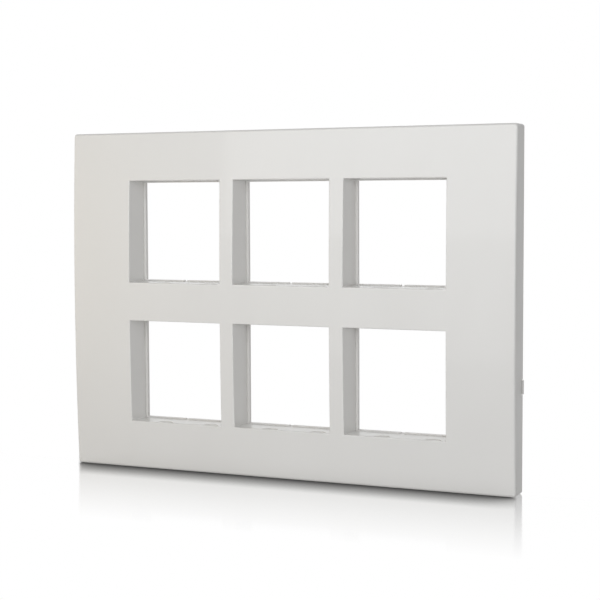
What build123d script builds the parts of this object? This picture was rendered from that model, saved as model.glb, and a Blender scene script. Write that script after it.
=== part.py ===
"""Modular cover plate for a wall box, with two rows of three windows.

The part is two mouldings. The cover plate is the front that shows: a face that bows
gently outward, a skirt round its edge and a drafted collar behind each window. The
support frame lies behind it against the wall, takes the fixing screws and carries the
wiring modules on a lip round each opening. Snap hooks on the cover hold it to the frame.

Frame: X to the right, Z up, and Y away from the viewer. The origin is the middle of the
plate on the wall plane, so the face looks along -Y. All sizes are in millimetres.
"""
import os
from math import radians, sqrt, tan

from build123d import *

# Wiring modules and the windows that take them
module_width = 22.5
module_height = 45.0
modules_per_window = 2
module_side_clearance = 0.2
module_end_clearance = 0.4
window_columns = 3
window_rows = 2
column_bar = 6.4
row_bar = 17.1

# Cover plate: borders round the windows, and walls
side_border = 29.3
end_border = 21.3
skirt_depth = 9.4
face_crown = 2.0
face_wall = 2.2
skirt_wall = 2.0
corner_radius = 1.3
edge_radius = 1.15
inner_corner_radius = 0.8

# Cover plate: window collars
collar_wall = 1.5
collar_side_draft = 7.0
collar_top_draft = 1.8
window_edge_radius = 0.4
collar_seat_clearance = 0.2

# Cover plate: one shallow release pocket for each module, in the sill of its window
pocket_width = 7.4
pocket_reach = 3.2
pocket_depth = 0.7
pocket_land = 0.7
pocket_offset = 5.5

# Cover plate: stiffening ribs inside the face
cover_rib_wall = 1.2
cover_rib_clearance = 0.5

# Support frame: base, rim, and a sunk well with a lip round each opening
base_wall = 1.6
well_depth = 1.4
rim_wall = 1.5
rim_height = 4.5
rim_corner_radius = 3.0
hook_space = 3.0
lip_side = 1.2
lip_top = 0.5
lip_split_width = 1.5
lip_split_depth = 0.5

# Support frame: stiffening rails and cross ribs in front of the base
rail_wall = 1.5
rail_clearance = 0.6
cross_rib_wall = 1.2
bar_rib_wall = 2.4

# Support frame: module catch rails behind the wall plane
catch_rail_depth = 4.6
catch_rail_wall = 1.4
catch_rail_setback = 1.0
catch_width = 9.0
catch_height = 2.2
catch_start = 1.4

# Support frame: screw slots and their seats
screw_to_well = 8.2
screw_spacing_z = 60.3
screw_slot_width = 4.2
screw_slot_length = 8.0
screw_seat_width = 10.0
screw_seat_length = 15.0
screw_seat_thickness = 3.0

# Side lugs of the frame, which show at the rear of the skirt
lug_height = 5.7
lug_proud = 0.45
lug_clearance = 0.3

# Snap hooks on the cover and their slots in the frame's rim
hook_width = 12.0
hook_wall = 1.4
hook_clearance = 0.25
hook_reach = 1.1
nose_length = 1.4
slot_land = 0.9
slot_clearance = 0.1
slot_side_clearance = 0.5

# How far cutters run past a surface, and roots of ribs and hooks run into one
overrun = 2.0
root = 0.4

# Sizes worked out from the ones above
window_width = modules_per_window * module_width + module_side_clearance
window_height = module_height + module_end_clearance
column_pitch = window_width + column_bar
row_pitch = window_height + row_bar
plate_width = column_pitch * (window_columns - 1) + window_width + 2 * side_border
plate_height = row_pitch * (window_rows - 1) + window_height + 2 * end_border
crown_radius = ((plate_height / 2) ** 2 + face_crown ** 2) / (2 * face_crown)
crown_centre = crown_radius - skirt_depth - face_crown
cavity_width = plate_width - 2 * skirt_wall
cavity_height = plate_height - 2 * skirt_wall
frame_width = cavity_width - 2 * hook_space
frame_height = cavity_height - 2 * hook_space
well_front = well_depth - base_wall
collar_end = well_front - collar_seat_clearance
catch_rail_end = well_depth + catch_rail_depth
cover_rib_end = -(rim_height + cover_rib_clearance)
slot_front = -(rim_height - slot_land)
nose_front = slot_front + slot_clearance
nose_back = nose_front + nose_length
slot_back = nose_back + slot_clearance


def column_places():
    """X of each column of windows, from left to right."""
    first = -(window_columns - 1) * column_pitch / 2
    return [first + column_pitch * column for column in range(window_columns)]


def row_places():
    """Z of each row of windows, from the bottom up."""
    first = -(window_rows - 1) * row_pitch / 2
    return [first + row_pitch * row for row in range(window_rows)]


def window_places():
    """Centre (x, z) of every window."""
    return [(x, z) for z in row_places() for x in column_places()]


def module_places():
    """X of each module, measured from the middle of its window."""
    first = -(modules_per_window - 1) * module_width / 2
    return [first + module_width * place for place in range(modules_per_window)]


def face_y(z, depth=0.0):
    """Y of the bowed face at height z, or of the surface that lies depth behind it."""
    return crown_centre - sqrt((crown_radius - depth) ** 2 - z ** 2)


def box_between(x_range, y_range, z_range):
    """A box given by its lowest and highest X, Y and Z."""
    sizes = [high - low for low, high in (x_range, y_range, z_range)]
    middle = [(high + low) / 2 for low, high in (x_range, y_range, z_range)]
    return Pos(*middle) * Box(*sizes)


def crowned_block(width, height, depth):
    """A block on the wall plane whose front follows the bow of the face, depth behind it."""
    edge_y = face_y(height / 2, depth)
    outline = Polyline((edge_y, height / 2), (0, height / 2), (0, -height / 2), (edge_y, -height / 2))
    bow = ThreePointArc((edge_y, -height / 2), (face_y(0, depth), 0), (edge_y, height / 2))
    profile = make_face(Plane.YZ * (outline + bow))
    return extrude(profile, amount=width / 2, both=True)


def tapered_prism(x, z, front, back, grow=0.0):
    """A prism along Y at a window, from Y front to Y back, drafted to narrow toward the wall.

    It has the window's size where it meets the face, plus grow on every side.
    """
    half_x = window_width / 2 + grow
    half_z = window_height / 2 + grow
    prism = box_between((x - half_x, x + half_x), (front, back), (z - half_z, z + half_z))
    full_size = Plane((x, face_y(z), z), x_dir=(1, 0, 0), z_dir=(0, 1, 0))
    sides = prism.faces().sort_by(Axis.X)
    prism = draft([sides[0], sides[-1]], full_size, collar_side_draft)
    ends = prism.faces().sort_by(Axis.Z)
    return draft([ends[0], ends[-1]], full_size, collar_top_draft)


def collar_inset_x():
    """How far a collar's side wall has drawn in at its rear end."""
    run = collar_end - face_y(row_places()[0])
    return run * tan(radians(collar_side_draft))


def collar_inset_z():
    """How far a collar's top or bottom wall has drawn in at its rear end."""
    run = collar_end - face_y(row_places()[0])
    return run * tan(radians(collar_top_draft))


opening_width = window_width - 2 * (collar_inset_x() + lip_side)
opening_height = window_height - 2 * (collar_inset_z() + lip_top)


def cover_shell():
    """The bowed face and its skirt, hollow behind."""
    outer = crowned_block(plate_width, plate_height, 0)
    outer = fillet(outer.edges().filter_by(Axis.Y), corner_radius)
    front = outer.faces().sort_by(Axis.Y)[0]
    outer = fillet(front.edges(), edge_radius)
    cavity = crowned_block(cavity_width, cavity_height, face_wall)
    cavity = fillet(cavity.edges().filter_by(Axis.Y), inner_corner_radius)
    return outer - cavity


def cover_ribs():
    """Ribs inside the face that tie the collars to each other and to the skirt."""
    half_x = cavity_width / 2 + root
    half_z = cavity_height / 2 + root
    half_rib = cover_rib_wall / 2
    deepest = face_y(0) + face_wall / 2
    ribs = [
        box_between((-half_x, half_x), (deepest, cover_rib_end), (z - half_rib, z + half_rib))
        for z in row_places()
    ]
    ribs += [
        box_between((x - half_rib, x + half_rib), (deepest, cover_rib_end), (-half_z, half_z))
        for x in column_places()
    ]
    lattice = Part() + ribs
    return lattice & crowned_block(cavity_width + root, cavity_height + root, face_wall / 2)


def snap_hook(distance, start):
    """A hook for the upper edge: its arm clears a rim that lies distance above the middle.

    The arm starts at Y start, inside the face, and its nose reaches into the rim's slot.
    """
    arm_inner = distance + hook_clearance
    arm_outer = arm_inner + hook_wall
    reach = hook_clearance + hook_reach
    half = hook_width / 2
    arm = box_between((-half, half), (start, nose_back), (arm_inner, arm_outer))
    wedge = Polyline(
        (nose_front, arm_inner + root),
        (nose_front, arm_inner - reach),
        (nose_front + nose_length / 3, arm_inner - reach),
        (nose_back, arm_inner),
        (nose_back, arm_inner + root),
        close=True,
    )
    nose = extrude(make_face(Plane.YZ * wedge), amount=half, both=True)
    return arm + nose


def hook_turns():
    """For each hook: its turn about Y, its place along the edge and the rim's distance."""
    edges = [(0, x, frame_height / 2) for x in column_places()]
    edges += [(180, x, frame_height / 2) for x in column_places()]
    return edges + [(90, 0, frame_width / 2), (-90, 0, frame_width / 2)]


def snap_hooks():
    """All hooks: one above and below each column, and one at the middle of each side."""
    hooks = []
    for turn, place, distance in hook_turns():
        height = distance if turn in (0, 180) else 0
        start = face_y(height) + face_wall / 2
        hooks.append(Rot(0, turn, 0) * Pos(place, 0, 0) * snap_hook(distance, start))
    return hooks


def sill_pockets():
    """Cutters for the release pockets. Each is a segment of a circle behind the sill's edge."""
    half = pocket_width / 2
    cutters = []
    for x, z in window_places():
        sill = z - window_height / 2
        land = face_y(sill) + pocket_land
        outline = ThreePointArc((-half, 0), (0, pocket_reach), (half, 0)) + Line((-half, 0), (half, 0))
        segment = extrude(make_face(outline), amount=pocket_depth + root)
        for place in module_places():
            cutters.append(Pos(x + place + pocket_offset, land, sill - pocket_depth) * segment)
    return cutters


def lug_range(clearance=0.0):
    """The Z range of the side lugs, which lie level with the lowest row of windows."""
    middle = row_places()[0]
    return (middle - lug_height / 2 - clearance, middle + lug_height / 2 + clearance)


def window_prisms(front, back, grow=0.0):
    """The tapered prism of every window, over the same stretch of Y."""
    return [tapered_prism(x, z, front, back, grow) for x, z in window_places()]


def window_rims(cover):
    """The edges where the windows meet the face."""
    front = cover.faces().sort_by(Axis.Y)[0]
    return [edge for wire in front.inner_wires() for edge in wire.edges()]


def make_cover_plate():
    """The cover plate, one moulding."""
    before_face = -skirt_depth - face_crown - overrun
    collars = [
        tapered_prism(x, z, face_y(z) + face_wall / 2, collar_end, grow=collar_wall)
        for x, z in window_places()
    ]
    cover = cover_shell() + collars - window_prisms(before_face, overrun)
    cover = fillet(window_rims(cover), window_edge_radius) - sill_pockets()
    ribs = cover_ribs() - window_prisms(before_face, overrun, grow=collar_wall / 2)
    cover = cover + ribs + snap_hooks()
    half_x = plate_width / 2 + overrun
    lug_gate_depth = base_wall + lug_clearance
    gate = box_between((-half_x, half_x), (-lug_gate_depth, overrun), lug_range(lug_clearance))
    inner_half_x = cavity_width / 2 - root
    inside = box_between((-inner_half_x, inner_half_x), (-lug_gate_depth, overrun), lug_range(overrun))
    return cover - (gate - inside)


def frame_tray():
    """The frame's base against the wall, with a rim round it toward the cover."""
    outer = box_between(
        (-frame_width / 2, frame_width / 2), (-rim_height, 0), (-frame_height / 2, frame_height / 2)
    )
    outer = fillet(outer.edges().filter_by(Axis.Y), rim_corner_radius)
    inner = box_between(
        (-frame_width / 2 + rim_wall, frame_width / 2 - rim_wall),
        (-rim_height - overrun, -base_wall),
        (-frame_height / 2 + rim_wall, frame_height / 2 - rim_wall),
    )
    inner = fillet(inner.edges().filter_by(Axis.Y), rim_corner_radius - rim_wall)
    return outer - inner


def well_half_x():
    """Half the clear width of a well: the outermost collars and their clearance."""
    return column_places()[-1] + window_width / 2 + collar_wall + rail_clearance


def well_half_z():
    """Half the clear height of a well: one row of collars and its clearance."""
    return window_height / 2 + collar_wall + rail_clearance


def row_wells():
    """The sunk wells, one for each row: outer blocks to add and the hollows to cut."""
    blocks = []
    hollows = []
    for z in row_places():
        hollow_x = (-well_half_x(), well_half_x())
        hollow_z = (z - well_half_z(), z + well_half_z())
        block_x = (hollow_x[0] - rail_wall, hollow_x[1] + rail_wall)
        block_z = (hollow_z[0] - rail_wall, hollow_z[1] + rail_wall)
        blocks.append(box_between(block_x, (-rim_height, well_depth), block_z))
        hollows.append(box_between(hollow_x, (-rim_height - overrun, well_front), hollow_z))
    return blocks, hollows


def frame_rails():
    """Rails that carry the wells' walls on to the rim, along and across the frame."""
    half_x = frame_width / 2 - root
    half_z = frame_height / 2 - root
    height = (-rim_height, -base_wall + root)
    rails = []
    for z in row_places():
        for inner, outer in (
            (well_half_z(), well_half_z() + rail_wall),
            (-well_half_z() - rail_wall, -well_half_z()),
        ):
            rails.append(box_between((-half_x, half_x), height, (z + inner, z + outer)))
    side = well_half_x()
    rails.append(box_between((side, side + rail_wall), height, (-half_z, half_z)))
    rails.append(box_between((-side - rail_wall, -side), height, (-half_z, half_z)))
    return rails


def frame_ribs():
    """Short ribs: between the columns, and across the bars above, between and below the rows."""
    height = (-rim_height, well_front + root)
    half_bar = bar_rib_wall / 2
    half_cross = cross_rib_wall / 2
    half_z = frame_height / 2 - root
    row_half = well_half_z() + root
    between = [x + column_pitch / 2 for x in column_places()[:-1]]
    ribs = [
        box_between((x - half_bar, x + half_bar), height, (z - row_half, z + row_half))
        for x in between
        for z in row_places()
    ]
    height = (-rim_height, -base_wall + root)
    lines = [-half_z] + [edge for z in row_places() for edge in (z - row_half, z + row_half)] + [half_z]
    spans = list(zip(lines[0::2], lines[1::2]))
    for low, high in spans:
        for x in column_places() + between:
            ribs.append(box_between((x - half_cross, x + half_cross), height, (low, high)))
    return ribs


def module_openings():
    """Cutters for the openings, each with a small split between its modules' rests below."""
    through = (-rim_height - overrun, catch_rail_end + overrun)
    half_x = opening_width / 2
    half_z = opening_height / 2
    cutters = []
    for x, z in window_places():
        cutters.append(box_between((x - half_x, x + half_x), through, (z - half_z, z + half_z)))
        splits = [(left + right) / 2 for left, right in zip(module_places(), module_places()[1:])]
        for place in splits:
            split_x = (x + place - lip_split_width / 2, x + place + lip_split_width / 2)
            split_z = (z - half_z - lip_split_depth, z)
            cutters.append(box_between(split_x, (-rim_height - overrun, well_depth + root), split_z))
    return cutters


def catch_rails():
    """Rails behind each opening, with a catch slot for each module's spring tongue."""
    rails = []
    inner = opening_height / 2 + catch_rail_setback
    outer = inner + catch_rail_wall
    half_x = opening_width / 2
    rail_y = (well_depth - root, catch_rail_end)
    for x, z in window_places():
        for low, high in ((z + inner, z + outer), (z - outer, z - inner)):
            rail = box_between((x - half_x, x + half_x), rail_y, (low, high))
            for place in module_places():
                catch_x = (x + place - catch_width / 2, x + place + catch_width / 2)
                catch_y = (well_depth + catch_start, well_depth + catch_start + catch_height)
                rail = rail - box_between(catch_x, catch_y, (low - overrun, high + overrun))
            rails.append(rail)
    return rails


def screw_places():
    """Centres (x, z) of the four fixing slots, which lie outside the wells."""
    x = well_half_x() + rail_wall + screw_to_well
    z = screw_spacing_z / 2
    return [(-x, -z), (-x, z), (x, -z), (x, z)]


def screw_seats():
    """Raised seats under the heads of the fixing screws."""
    upright = Rot(90, 0, 0)
    outline = SlotOverall(screw_seat_length, screw_seat_width)
    seat = extrude(outline, amount=screw_seat_thickness)
    return [Pos(x, 0, z) * upright * seat for x, z in screw_places()]


def screw_slots():
    """Cutters for the fixing slots, which run sideways to allow for the box."""
    upright = Rot(90, 0, 0)
    outline = SlotOverall(screw_slot_length, screw_slot_width)
    slot = extrude(outline, amount=rim_height + overrun, both=True)
    return [Pos(x, 0, z) * upright * slot for x, z in screw_places()]


def side_lugs():
    """Lugs that pass under the skirt, where a blade lifts the cover off."""
    tip = plate_width / 2 + lug_proud
    inner = frame_width / 2 - root
    return [
        box_between((inner, tip), (-base_wall, 0), lug_range()),
        box_between((-tip, -inner), (-base_wall, 0), lug_range()),
    ]


def hook_slots():
    """Cutters for the slots in the rim that take the hooks' noses."""
    half = hook_width / 2 + slot_side_clearance
    cutters = []
    for turn, place, distance in hook_turns():
        through = (distance - rim_wall - root, distance + overrun)
        cutter = box_between((place - half, place + half), (slot_front, slot_back), through)
        cutters.append(Rot(0, turn, 0) * cutter)
    return cutters


def make_support_frame():
    """The support frame, one moulding."""
    blocks, hollows = row_wells()
    frame = frame_tray() + frame_rails() + blocks - hollows
    frame = frame + frame_ribs() + screw_seats() + catch_rails() + side_lugs()
    return frame - module_openings() - screw_slots() - hook_slots()


os.makedirs("parts", exist_ok=True)
for name, piece in (("cover_plate", make_cover_plate()), ("support_frame", make_support_frame())):
    piece.label = name
    export_step(piece, f"parts/{name}.step")
    box = piece.bounding_box()
    print(name, "solids", len(piece.solids()), "size", [round(size, 2) for size in tuple(box.size)])
print("clear opening in the frame", round(opening_width, 2), "x", round(opening_height, 2))
print("fixing slots", round(2 * screw_places()[-1][0], 2), "x", screw_spacing_z, "apart")
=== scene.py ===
# %% [markdown]
# # A cover plate for light switches, dressed for a studio picture
# The object is a white wall plate with two rows of three square windows, and a carrier frame
# that lies behind it. Both come from the CAD model as finished meshes. Blender's work here is
# the looks: the plastics, the small moulding marks, the floor, the light and the camera. The
# lesson goes one step at a time, and every step prints what it made or measured.

# %% Load the CAD model
import math
import random

import bmesh
import bpy
from mathutils import Matrix, Vector


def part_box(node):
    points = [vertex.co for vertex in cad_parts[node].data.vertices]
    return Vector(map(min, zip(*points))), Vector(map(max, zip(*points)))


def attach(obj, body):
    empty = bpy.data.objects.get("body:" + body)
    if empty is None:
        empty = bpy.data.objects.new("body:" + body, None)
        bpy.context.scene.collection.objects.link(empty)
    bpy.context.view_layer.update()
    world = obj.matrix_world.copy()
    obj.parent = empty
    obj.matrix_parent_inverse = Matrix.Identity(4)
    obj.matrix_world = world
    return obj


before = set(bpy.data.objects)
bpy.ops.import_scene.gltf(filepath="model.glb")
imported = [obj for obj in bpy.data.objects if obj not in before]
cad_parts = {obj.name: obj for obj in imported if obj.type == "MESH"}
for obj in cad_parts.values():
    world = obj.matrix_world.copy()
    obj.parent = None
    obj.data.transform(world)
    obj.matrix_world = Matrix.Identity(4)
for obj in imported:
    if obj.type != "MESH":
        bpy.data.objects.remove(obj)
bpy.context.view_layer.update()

cover_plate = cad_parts["cover_plate"]
support_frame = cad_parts["support_frame"]
for node in (cover_plate, support_frame):
    print(node.name, "has", len(node.data.polygons), "faces")

# %% [markdown]
# ## Sizes
# Blender works in metres, and a wall plate is thought of in millimetres, so one short helper
# turns one into the other. The few places that later cells need are read from the CAD boxes,
# not typed in again: the floor lies under the lowest point of the plate, and the front of the
# plate is its lowest Y. Reading them keeps the scene right when the CAD model changes.

# %% Millimetres and places


def mm(value):
    """Metres from millimetres."""
    return value / 1000


plate_low, plate_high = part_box("cover_plate")
floor_z = plate_low.z
print("plate", [round((plate_high[i] - plate_low[i]) * 1000, 2) for i in range(3)], "mm")
print("floor at Z", round(floor_z * 1000, 2), "mm")

# %% [markdown]
# ## Camera
# The picture was taken from the right of the plate and a little above its middle, from near
# enough that the right end looks taller than the left. A camera can be matched by eye, or
# worked out from corners whose true places are known. Here it was worked out: the place, the
# view direction and the focal length below bring the plate's corners onto the picture's. The
# matrix is built from three directions, because that leaves no doubt about the small roll.

# %% Place the camera
picture_width = 600
sensor_width = 36.0
focal_length_in_pixels = 1440.4
camera_place = Vector((mm(257.49), mm(-568.89), mm(44.75)))
camera_forward = Vector((-0.40549, 0.91155, -0.06875)).normalized()
camera_roll = math.radians(0.232)


def camera_axes(forward, roll):
    """Right, up and back directions of a camera that looks forward and rolls clockwise."""
    right = forward.cross(Vector((0, 0, 1))).normalized()
    up = right.cross(forward)
    rolled_right = right * math.cos(roll) - up * math.sin(roll)
    rolled_up = up * math.cos(roll) + right * math.sin(roll)
    return rolled_right, rolled_up, -forward


camera_data = bpy.data.cameras.new("plate_camera")
camera_data.sensor_width = sensor_width
camera_data.lens = focal_length_in_pixels * sensor_width / picture_width
camera_data.clip_start = mm(10)
camera_data.clip_end = mm(20000)
camera = bpy.data.objects.new("plate_camera", camera_data)
axes = Matrix(camera_axes(camera_forward, camera_roll)).transposed()
camera.matrix_world = Matrix.Translation(camera_place) @ axes.to_4x4()
bpy.context.scene.collection.objects.link(camera)
bpy.context.scene.camera = camera
print("lens", round(camera_data.lens, 2), "mm")

# %% [markdown]
# ## Starting a material
# A material is a small graph of nodes. Writing out every node and link takes many lines that
# say the same, so two helpers do it. One starts a material, and one adds a node with its
# settings and input values. Where an input value is the output of another node, the helper
# links the two, so a graph reads from the inside out, like a formula.

# %% Start a material and add a node


def new_material(name):
    """A material with an empty graph apart from its output and a Principled shader."""
    material = bpy.data.materials.new(name)
    material.use_nodes = True
    return material, material.node_tree, material.node_tree.nodes["Principled BSDF"]


def add_node(tree, kind, settings=None, inputs=None):
    """Adds a node. An input value that is a socket of another node is linked."""
    node = tree.nodes.new(kind)
    for key, value in (settings or {}).items():
        setattr(node, key, value)
    for key, value in (inputs or {}).items():
        if isinstance(value, bpy.types.NodeSocket):
            tree.links.new(value, node.inputs[key])
        else:
            node.inputs[key].default_value = value
    return node


print("material helpers ready")

# %% [markdown]
# ## Numbers in a graph
# Most nodes of this scene only work on numbers: a sum, a product, one axis of a place, how far
# two directions agree, or a value moved from one range to another. Each of these gets a helper
# that gives back the node's output, so a formula of several steps stays readable.

# %% Helpers for numbers


def math_node(tree, operation, *values, clamp=False):
    """The result of a Math node. Each value is a number or another node's output."""
    settings = {"operation": operation, "use_clamp": clamp}
    return add_node(tree, "ShaderNodeMath", settings, dict(enumerate(values))).outputs[0]


def axis_of(tree, vector, axis):
    """The X, Y or Z of a vector."""
    return add_node(tree, "ShaderNodeSeparateXYZ", inputs={0: vector}).outputs[axis]


def agreement(tree, first, second):
    """The dot product of two directions: 1 where they agree, 0 where they are square."""
    settings = {"operation": "DOT_PRODUCT"}
    return add_node(tree, "ShaderNodeVectorMath", settings, {0: first, 1: second}).outputs["Value"]


def map_range(tree, value, source, target=(0.0, 1.0)):
    """A value moved from the source range to the target range, and kept inside it."""
    inputs = {
        "Value": value,
        "From Min": source[0],
        "From Max": source[1],
        "To Min": target[0],
        "To Max": target[1],
    }
    return add_node(tree, "ShaderNodeMapRange", inputs=inputs).outputs[0]


print("number helpers ready")

# %% [markdown]
# ## Noise, colours and relief
# Three more helpers make what every plastic here is made of. The first is a noise whose waves
# have a real length in metres. Its raw values lie mostly between 0.3 and 0.7, so that part is
# stretched over the range that is asked for. The second lays colours along a number, and the
# third turns a number into fine relief, which may lie over another relief.

# %% Helpers for noise, colours and relief
usual_noise = (0.3, 0.7)


def noise_between(tree, place, wavelength, target, detail=2.0, stretch=(1, 1, 1)):
    """A noise in the object's own space, its waves about wavelength long, over a target range."""
    mapping = add_node(tree, "ShaderNodeMapping", inputs={"Vector": place, "Scale": stretch})
    inputs = {"Vector": mapping.outputs[0], "Scale": 1 / wavelength, "Detail": detail}
    noise = add_node(tree, "ShaderNodeTexNoise", inputs=inputs)
    return map_range(tree, noise.outputs[0], usual_noise, target)


def ramp(tree, factor, places, colours):
    """Colours that stand at the given places along a 0 to 1 factor."""
    node = add_node(tree, "ShaderNodeValToRGB", inputs={"Fac": factor})
    elements = node.color_ramp.elements
    while len(elements) < len(places):
        elements.new(0.5)
    for element, place, colour in zip(elements, places, colours):
        element.position = place
        element.color = (*colour, 1)
    return node.outputs["Color"]


def bump(tree, height, depth, below=None):
    """A bump whose full height is depth, in metres, laid over another one if there is one."""
    inputs = {"Height": height, "Strength": 1.0, "Distance": depth}
    if below is not None:
        inputs["Normal"] = below
    return add_node(tree, "ShaderNodeBump", inputs=inputs).outputs[0]


print("surface helpers ready")

# %% [markdown]
# ## Corners and edges
# Two places tell a used surface from a computer's: the inner corners, which get a painted shade
# and a little more roughness, and the outer edges, which get a painted highlight and are
# rubbed a little smoother. Painting masks for them by hand is one way. Here the shape makes
# them. Ambient occlusion measures how shut in a point is, and a Bevel node turns the surface's
# direction only near an edge, so comparing its direction with the true one finds the edges.
# Both follow the CAD model when it changes.

# %% Masks from the shape
corner_openness = (0.95, 0.35)
edge_agreement = (1.0, 0.8)


def corner_mask(tree, reach):
    """0 on open faces, up to 1 deep in an inner corner, measured over reach."""
    shade = add_node(tree, "ShaderNodeAmbientOcclusion", {"samples": 6}, {"Distance": reach})
    return map_range(tree, shade.outputs["AO"], corner_openness)


def edge_mask(tree, width):
    """0 on flat faces, up to 1 on an edge, fading over width."""
    rounded = add_node(tree, "ShaderNodeBevel", {"samples": 4}, {"Radius": width})
    true_normal = add_node(tree, "ShaderNodeNewGeometry").outputs["Normal"]
    return map_range(tree, agreement(tree, rounded.outputs[0], true_normal), edge_agreement)


def weighted_sum(tree, parts):
    """The sum of pairs of value and weight, kept between 0 and 1."""
    total = 0.0
    for value, weight in parts:
        total = math_node(tree, "MULTIPLY_ADD", value, weight, total, clamp=True)
    return total


print("masks ready")

# %% [markdown]
# ## Moulded plastic
# Both pieces are injection moulded. Close up, such a surface isn't one flat colour. The pigment
# drifts a little over a few centimetres, faint flow lines follow the way the melt ran, and the
# mould leaves a waviness of about a millimetre with a much finer grain under it. An image
# could hold all that, but noises in the object's own space need no unwrapping and stay sharp
# at any distance. The colour runs along one ramp, from the painted highlight of the edges
# through the two pigment tones to the painted shade of the corners, so one number places
# every point on it. One function makes the plastic, and each piece gives it its own values.

# %% Recipe for a moulded plastic
pigment_wave = mm(38)
pigment_range = (0.25, 0.55)
tone_places = (0.0, 0.25, 0.55, 1.0)
corner_reach = mm(3.5)
corner_painted_shade = 0.35
corner_dust = 0.08
edge_width = mm(0.7)
edge_painted_highlight = -0.25
edge_polish = -0.06
polish_wave = mm(14)
plastic_ior = 1.5


def moulded_plastic(name, tones, rough, wave, grain, flow):
    """Drifting pigment, painted corner shade and edge highlight, uneven polish, orange peel,
    grain.

    tones are the colours of the painted highlight on edges, pale pigment, deep pigment and the
    painted shade in corners. rough is the lowest and highest roughness, wave and grain are
    wavelength and height, and flow stretches the pigment along the way the melt ran.
    """
    material, tree, shader = new_material(name)
    place = add_node(tree, "ShaderNodeTexCoord").outputs["Object"]
    pigment = noise_between(tree, place, pigment_wave, pigment_range, detail=4.0, stretch=flow)
    corners = corner_mask(tree, corner_reach)
    edges = edge_mask(tree, edge_width)
    # The tone is painted darker in the inner corners, a painted shade, and lighter on the edges, a
    # painted highlight.
    tone = weighted_sum(tree, ((corners, corner_painted_shade), (pigment, 1.0), (edges, edge_painted_highlight)))
    tree.links.new(ramp(tree, tone, tone_places, tones), shader.inputs["Base Color"])
    polish = noise_between(tree, place, polish_wave, rough, detail=3.0)
    rubbed = weighted_sum(tree, ((polish, 1.0), (edges, edge_polish), (corners, corner_dust)))
    tree.links.new(rubbed, shader.inputs["Roughness"])
    peel = noise_between(tree, place, wave[0], (0.0, 1.0), detail=1.0)
    fine = noise_between(tree, place, grain[0], (0.0, 1.0), detail=2.0)
    relief = bump(tree, fine, grain[1], below=bump(tree, peel, wave[1]))
    tree.links.new(relief, shader.inputs["Normal"])
    shader.inputs["IOR"].default_value = plastic_ior
    return material, shader


print("moulded plastic recipe ready")

# %% [markdown]
# ## Glossy off-white plastic of the cover
# The plate is a slightly warm white with a polished look, so its light comes back in two ways:
# a soft even white from inside the plastic, and a clear thin reflection from its skin. A coat
# over a rougher base gives both. It lets the edge of a lamp show as a faint band across the
# face, which a single roughness would blur away.

# %% Cover plastic
# From edges to corners: a painted highlight, two pigment tones, and a painted shade.
cover_tones = (
    (0.815, 0.810, 0.800),
    (0.798, 0.792, 0.780),
    (0.776, 0.769, 0.755),
    (0.700, 0.690, 0.670),
)
cover_plastic, cover_shader = moulded_plastic(
    "cover_white_gloss",
    tones=cover_tones,
    rough=(0.34, 0.42),
    wave=(mm(1.6), mm(0.0016)),
    grain=(mm(0.22), mm(0.0006)),
    flow=(1.0, 1.0, 0.35),
)
cover_shader.inputs["Coat Roughness"].default_value = 0.07
cover_plate.material_slots[0].material = cover_plastic
print("cover plastic on", cover_plate.name)

# %% [markdown]
# ## Dull walls, clear face
# Only the face and the sills of the cover are that clear. The walls round the plate slide
# along the mould as it opens, which dulls them. Two materials could say that, but the line
# between them would fall on the rounded edges. Here one number turns the coat down instead,
# with a soft change: where the surface's own X direction looks sideways, and on the flat top
# and bottom walls, which are found by their height.

# %% Turn the coat down on the walls
coat_on_face = 0.68
coat_on_walls = 0.10
turning_sideways = (0.3, 0.9)
below_top = (mm(0.35), mm(0.15))

cover_tree = cover_plastic.node_tree
own = add_node(cover_tree, "ShaderNodeTexCoord").outputs
side_normal = math_node(cover_tree, "ABSOLUTE", axis_of(cover_tree, own["Normal"], "X"))
height = math_node(cover_tree, "ABSOLUTE", axis_of(cover_tree, own["Object"], "Z"))
sideways = map_range(cover_tree, side_normal, turning_sideways)
on_top = map_range(cover_tree, height, [plate_high.z - depth for depth in below_top])
wall = math_node(cover_tree, "MAXIMUM", sideways, on_top)
coat_weight = map_range(cover_tree, wall, (0.0, 1.0), (coat_on_face, coat_on_walls))
cover_tree.links.new(coat_weight, cover_shader.inputs["Coat Weight"])
print("coat from", coat_on_face, "on the face to", coat_on_walls, "on the walls")

# %% [markdown]
# ## Half-gloss plastic of the carrier frame
# The frame behind is the same off-white plastic, from a mould that was polished less, because
# only its lips and side lugs ever show. Its skin is thinner and its grain coarser, so its
# reflections are softer, and the shade painted into the corners round the ribs is a little greyer.

# %% Frame plastic
# From edges to corners: a painted highlight, two pigment tones, and a painted shade.
frame_tones = (
    (0.808, 0.801, 0.787),
    (0.788, 0.780, 0.764),
    (0.764, 0.755, 0.737),
    (0.680, 0.668, 0.645),
)
frame_plastic, frame_shader = moulded_plastic(
    "frame_white_half_gloss",
    tones=frame_tones,
    rough=(0.38, 0.48),
    wave=(mm(0.9), mm(0.003)),
    grain=(mm(0.16), mm(0.0012)),
    flow=(0.4, 1.0, 1.0),
)
frame_shader.inputs["Coat Weight"].default_value = 0.2
frame_shader.inputs["Coat Roughness"].default_value = 0.12
support_frame.material_slots[0].material = frame_plastic
print("frame plastic on", support_frame.name)

# %% [markdown]
# ## Marks of the mould
# A moulding leaves its mould with small marks on its rear: a ring where each ejector pin
# pushed it out, and a rough stub where the runner was twisted off. They are far too fine for
# the CAD model, and they are what makes a plain rear believable. Each ring is a short profile
# turned round the Y axis, as on a lathe: points of radius and height go round in steps, and
# faces join each circle to the next. Its foot lies a little under the surface, so no gap shows.

# %% Turn a profile into a disc


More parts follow.
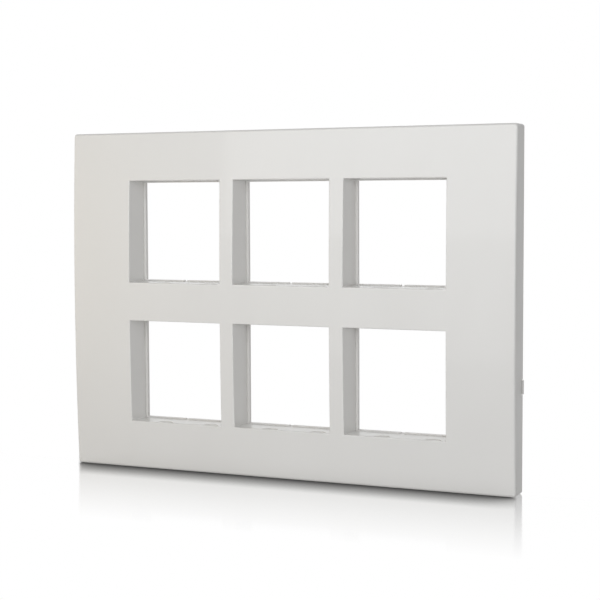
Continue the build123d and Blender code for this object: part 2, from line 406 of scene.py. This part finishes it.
def turned_disc(mesh, centre, profile, steps=24):
    """Adds a closed disc to mesh. profile holds (radius, height) pairs from top to foot."""
    x, surface, z = centre
    circles = []
    for radius, height in profile:
        circle = []
        for step in range(steps):
            angle = 2 * math.pi * step / steps
            spot = (x + radius * math.cos(angle), surface + height, z + radius * math.sin(angle))
            circle.append(mesh.verts.new(spot))
        circles.append(circle)
    for upper, lower in zip(circles, circles[1:]):
        for step in range(steps):
            after = (step + 1) % steps
            mesh.faces.new((upper[step], lower[step], lower[after], upper[after]))
    mesh.faces.new(circles[0])
    mesh.faces.new(reversed(circles[-1]))
    return circles


def frame_piece(name, mesh):
    """Turns a bmesh into a piece of the carrier frame, in the frame's plastic."""
    bmesh.ops.recalc_face_normals(mesh, faces=mesh.faces)
    data = bpy.data.meshes.new(name)
    mesh.to_mesh(data)
    mesh.free()
    data.materials.append(frame_plastic)
    piece = bpy.data.objects.new(name, data)
    bpy.context.scene.collection.objects.link(piece)
    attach(piece, "root")
    return piece


print("disc helper ready")

# %% [markdown]
# ## Ejector pin marks
# The pins stand where the plastic is stiff enough to be pushed: on the flat rear of the two
# sunk wells, between the columns of windows and outside the last ones. The well's rear is
# 1.4 mm behind the wall plane. The marks repeat in one loop over columns and rows.

# %% Ejector pin marks
well_rear = mm(1.4)
pin_columns = (-74.8, -25.8, 25.8, 74.8)
pin_rows = (-45.25, -17.25, 17.25, 45.25)
pin_radii = (0.70, 1.50, 1.62, 1.84, 2.00, 0.70)
pin_heights = (0.06, 0.06, 0.20, 0.20, -0.04, -0.04)
pin_profile = [(mm(radius), mm(height)) for radius, height in zip(pin_radii, pin_heights)]
pins = bmesh.new()
for x in pin_columns:
    for z in pin_rows:
        turned_disc(pins, (mm(x), well_rear, mm(z)), pin_profile)
ejector_marks = frame_piece("ejector_marks", pins)
print("ejector marks:", len(ejector_marks.data.polygons), "faces")

# %% [markdown]
# ## Gate stub
# The melt entered at the middle of the frame, where it has the shortest way to every corner.
# The stub left there was twisted off, so its top is torn: a seeded random lift on each point
# of the top circles makes it uneven, and the same seed gives the same stub every time.

# %% Gate stub
gate_place = (mm(-25.8), well_rear, mm(-31.25))
gate_radii = (0.45, 1.00, 1.35, 1.60, 0.45)
gate_heights = (0.40, 0.45, 0.30, -0.05, -0.05)
gate_profile = [(mm(radius), mm(height)) for radius, height in zip(gate_radii, gate_heights)]
torn_circles = 3
torn_height = 0.12
torn_seed = 7
gate = bmesh.new()
gate_circles = turned_disc(gate, gate_place, gate_profile, steps=18)
torn = random.Random(torn_seed)
for circle in gate_circles[:torn_circles]:
    for point in circle:
        point.co.y += mm(torn.uniform(-torn_height, torn_height))
gate_stub = frame_piece("gate_stub", gate)
print("gate stub:", len(gate_stub.data.polygons), "faces")

# %% [markdown]
# ## Floor
# The plate stands on a white glossy board that melts into the background. A lit board would
# need its lamps balanced to the last percent to stay pure white, so this one glows white by
# itself: its shader is a light, and later cells take that light away or mix a mirror in. It is
# one large flat face at the foot of the plate. Soft rays don't see it, so the plate isn't lit
# from below.

# %% Lay the floor
floor_half = 3.0
square_corners = ((-1, -1), (1, -1), (1, 1), (-1, 1))


def flat_sheet(name, corners):
    """A single flat face through four corners."""
    mesh = bpy.data.meshes.new(name)
    mesh.from_pydata(corners, [], [(0, 1, 2, 3)])
    sheet = bpy.data.objects.new(name, mesh)
    bpy.context.scene.collection.objects.link(sheet)
    return sheet


floor = flat_sheet(
    "studio_floor",
    [(x * floor_half, y * floor_half, floor_z) for x, y in square_corners],
)
floor_white, floor_tree, floor_shader = new_material("floor_white")
floor_tree.nodes.remove(floor_shader)
floor.data.materials.append(floor_white)
floor.visible_diffuse = False
print("floor", 2 * floor_half, "m wide")

# %% [markdown]
# ## Shade at the foot
# Where the plate touches the board there is a thin dark line that fades out in front of it.
# A shadow from a lamp would lie on one side only, so an ambient occlusion node makes it: it
# says how much of the sky a point of the floor sees within a short reach, and a power makes
# the fade steeper.

# %% Shade from the plate above
shade_reach = mm(24)
shade_power = 2.7
openness = add_node(
    floor_tree, "ShaderNodeAmbientOcclusion", {"samples": 16}, {"Distance": shade_reach}
)
shade = math_node(floor_tree, "POWER", openness.outputs["AO"], shade_power)
print("shade reaches", round(shade_reach * 1000), "mm")

# %% [markdown]
# ## Ends of the shade
# The real shade stops short at the plate's ends. Two lines on the floor cut it off there, one
# at each end. Both lean to the right as they come forward, by so many metres of X for each
# metre of Y, so in the picture each end of the shade lies straight below its corner. The cut
# gets softer further from the foot. Past a line the board keeps its full light, so the larger
# of the shade and the cut is taken.

# %% Cut the shade off at both ends
end_fade = mm(2)
end_shift = mm(1)
end_softening = 0.3
left_slant = 0.64
right_slant = 0.28

floor_place = add_node(floor_tree, "ShaderNodeTexCoord").outputs["Object"]
floor_x = axis_of(floor_tree, floor_place, "X")
floor_y = axis_of(floor_tree, floor_place, "Y")
in_front = math_node(floor_tree, "SUBTRACT", plate_low.y, floor_y)
left_lean = math_node(floor_tree, "MULTIPLY_ADD", in_front, left_slant, end_shift)
right_lean = math_node(floor_tree, "MULTIPLY_ADD", in_front, right_slant, end_shift)
to_left = math_node(floor_tree, "SUBTRACT", left_lean, floor_x)
to_right = math_node(floor_tree, "SUBTRACT", floor_x, right_lean)
outward = math_node(floor_tree, "MAXIMUM", to_left, to_right)
from_foot = math_node(floor_tree, "ABSOLUTE", in_front)
fade_start = math_node(
    floor_tree, "MULTIPLY_ADD", from_foot, -end_softening, plate_high.x - end_fade
)
past_end = map_range(floor_tree, outward, (fade_start, plate_high.x))
floor_light = math_node(floor_tree, "MAXIMUM", shade, past_end)
print("shade fades out over", round(end_fade * 1000), "mm at each end")

# %% [markdown]
# ## Mirror image in the floor
# The board is glossy, so the foot of the plate shows in it upside down. The image is strongest
# at the foot and fades out a hand's width in front, by a gradient along the floor's own Y.
# There is none behind the plate, and a Layer Weight node fades it when the floor is seen from
# high up, as gloss does on a real board.

# %% Mix the mirror into the glow
mirror_share = 0.70
mirror_reach = mm(95)
mirror_blur = 0.10
skimming_range = (0.5, 0.78)

mirror_stretch = (plate_low.y - mirror_reach, plate_low.y)
mirror_fade = map_range(floor_tree, floor_y, mirror_stretch, (0.0, mirror_share))
before_rear = math_node(floor_tree, "LESS_THAN", floor_y, plate_high.y)
turned_away = add_node(floor_tree, "ShaderNodeLayerWeight", inputs={"Blend": 0.5})
skimming = map_range(floor_tree, turned_away.outputs["Facing"], skimming_range)
mirror_place = math_node(floor_tree, "MULTIPLY", mirror_fade, before_rear)
mirror_mask = math_node(floor_tree, "MULTIPLY", mirror_place, skimming)
glow = add_node(
    floor_tree, "ShaderNodeEmission", inputs={"Color": (1, 1, 1, 1), "Strength": floor_light}
)
# The mirror image is darkened near the foot by the same painted shade as the glow.
mirror = add_node(
    floor_tree, "ShaderNodeBsdfGlossy", inputs={"Color": floor_light, "Roughness": mirror_blur}
)
floor_mix = add_node(
    floor_tree,
    "ShaderNodeMixShader",
    inputs={0: mirror_mask, 1: glow.outputs[0], 2: mirror.outputs[0]},
)
floor_surface = floor_tree.nodes["Material Output"].inputs["Surface"]
floor_tree.links.new(floor_mix.outputs[0], floor_surface)
print("mirror image fades over", round(mirror_reach * 1000), "mm")

# %% [markdown]
# ## Soft fill from all sides
# The room round the plate is a white tent, whose cloth sends soft light into every shadow. An
# area lamp on each side could do that, but the world gives it with no wall to build. It is a
# little stronger from the front than from behind and above, so one direction is compared with
# each ray's, and the result sets the strength.

# %% Fill light from the world
fill_front = 0.40
fill_back = 0.30
fill_back_side = (0.0, 0.90, 0.40)
fill_change = (-0.7, 0.7)
fill_colour = (1.0, 0.99, 0.97, 1)

world = bpy.data.worlds.new("studio_white")
bpy.context.scene.world = world
world.use_nodes = True
world_tree = world.node_tree
sky = add_node(world_tree, "ShaderNodeTexCoord").outputs["Generated"]
towards_back = agreement(world_tree, sky, fill_back_side)
fill_strength = map_range(world_tree, towards_back, fill_change, (fill_front, fill_back))
fill = add_node(
    world_tree, "ShaderNodeBackground", inputs={"Color": fill_colour, "Strength": fill_strength}
)
print("fill strength from", fill_front, "to", fill_back)

# %% [markdown]
# ## White tent for the camera and for gloss
# Behind the plate there is only white, and the gloss of the plate and of the floor needs
# something white to show. So the camera and mirror images see a white world in place of the
# grey fill, and one Light Path node tells the kinds of ray apart. Overhead the tent is open,
# so mirror images of that part are greyer, while the camera sees white all round.

# %% Show the tent to camera and gloss
tent_top = 0.40
tent_opening = (0.35, 0.75)

tent = world_tree.nodes["Background"]
tent.inputs["Color"].default_value = (1, 1, 1, 1)
rays = add_node(world_tree, "ShaderNodeLightPath").outputs
sees_tent = math_node(world_tree, "MAXIMUM", rays["Is Camera Ray"], rays["Is Glossy Ray"])
tent_light = map_range(world_tree, axis_of(world_tree, sky, "Z"), tent_opening, (1.0, tent_top))
tent_strength = math_node(world_tree, "MAXIMUM", rays["Is Camera Ray"], tent_light)
world_tree.links.new(tent_strength, tent.inputs["Strength"])
world_mix = add_node(
    world_tree,
    "ShaderNodeMixShader",
    inputs={0: sees_tent, 1: fill.outputs[0], 2: tent.outputs[0]},
)
world_tree.links.new(world_mix.outputs[0], world_tree.nodes["World Output"].inputs["Surface"])
print("tent from 1 down to", tent_top, "overhead")

# %% [markdown]
# ## Lamps in front
# A soft lamp hangs close above and in front of the plate, so the top of the bowed face gets
# clearly more light than the bottom, and the reveals at the left of each window, which turn
# away from it, stay a step darker. Its mirror image falls on the middle and right of the face
# and ends in a soft upright edge left of the middle windows. A small lamp low down evens out
# the foot. Both are large rectangles, because a small lamp would show as a hard spot in the
# gloss. The camera doesn't see them, so none blocks the view from above.

# %% Key lamp and low lamp


def soft_lamp(name, place, aim, size, power, colour):
    """A rectangular lamp at place, turned to aim."""
    data = bpy.data.lights.new(name, "AREA")
    data.shape = "RECTANGLE"
    data.size, data.size_y = size
    data.energy = power
    data.color = colour
    lamp = bpy.data.objects.new(name, data)
    direction = Vector(aim) - Vector(place)
    lamp.rotation_euler = direction.to_track_quat("-Z", "Y").to_euler()
    lamp.location = place
    lamp.visible_camera = False
    bpy.context.scene.collection.objects.link(lamp)
    print(name, "at", place, "power", power)
    return lamp


soft_lamp(
    "key_lamp",
    place=(-0.005, -0.38, 0.26),
    aim=(-0.005, 0.0, 0.26),
    size=(0.42, 0.45),
    power=0.80,
    colour=(0.975, 0.99, 1.0),
)
soft_lamp(
    "low_lamp",
    place=(0.02, -0.38, -0.04),
    aim=(0.02, 0.0, -0.04),
    size=(0.42, 0.15),
    power=0.11,
    colour=(1.0, 1.0, 1.0),
)

# %% [markdown]
# ## Lamps at the sides
# Two edges need a lamp of their own. The rounded right edge would show as a dark line between
# two pale faces, so a narrow upright lamp at the front right lights it. The left end of the
# plate has a cream tint, from something warm that stood near it, so a small warm lamp hangs
# close to that end. It is kept out of mirror images, where it would show as a yellow patch.

# %% Edge lamp and warm lamp
soft_lamp(
    "edge_lamp",
    place=(0.35, -0.45, 0.03),
    aim=(0.10, 0.0, 0.0),
    size=(0.10, 0.26),
    power=0.40,
    colour=(0.97, 0.985, 1.0),
)
warm_lamp = soft_lamp(
    "warm_lamp",
    place=(-0.22, -0.14, 0.03),
    aim=(-0.09, 0.0, 0.02),
    size=(0.10, 0.10),
    power=0.045,
    colour=(1.0, 0.78, 0.42),
)
warm_lamp.visible_glossy = False

# %% [markdown]
# ## Lamp behind
# The rear of the plate gets no light from the front lamps, so a large lamp stands behind it.
# It is far off, and hidden from mirror images, or the sills of the windows would show it.

# %% Rear lamp
rear_lamp = soft_lamp(
    "rear_lamp",
    place=(-0.45, 0.90, 0.10),
    aim=(0.0, 0.0, 0.0),
    size=(0.60, 0.60),
    power=3.2,
    colour=(1.0, 0.99, 0.97),
)
rear_lamp.visible_glossy = False

# %% [markdown]
# ## A dark flag
# The right side of the plate stands free and would catch more light than the reveals inside
# the windows. Photographers hold such a side back with a flag, a strip of black card just
# outside the picture. This one is hidden from the camera and from mirror images.

# %% Hang the flag
flag_x = plate_high.x + mm(100)
flag_half = mm(28)
flag_reach = mm(220)
flag = flat_sheet(
    "dark_flag", [(flag_x, y * flag_half, z * flag_reach) for y, z in square_corners]
)
flag_black, _, flag_shader = new_material("flag_black")
flag_shader.inputs["Base Color"].default_value = (0.01, 0.01, 0.01, 1)
flag_shader.inputs["Roughness"].default_value = 1.0
flag.data.materials.append(flag_black)
flag.visible_camera = False
flag.visible_glossy = False
print("flag", round(flag_half * 2000), "mm wide")

# %% [markdown]
# ## Picture settings
# The Standard view leaves the whites white and the greys as they are. The filmic views would
# pull a white product towards grey.

# %% Picture settings
scene = bpy.context.scene
scene.view_settings.view_transform = "Standard"
scene.view_settings.look = "None"
scene.view_settings.exposure = 0.0
scene.view_settings.gamma = 1.0
print("view transform", scene.view_settings.view_transform)
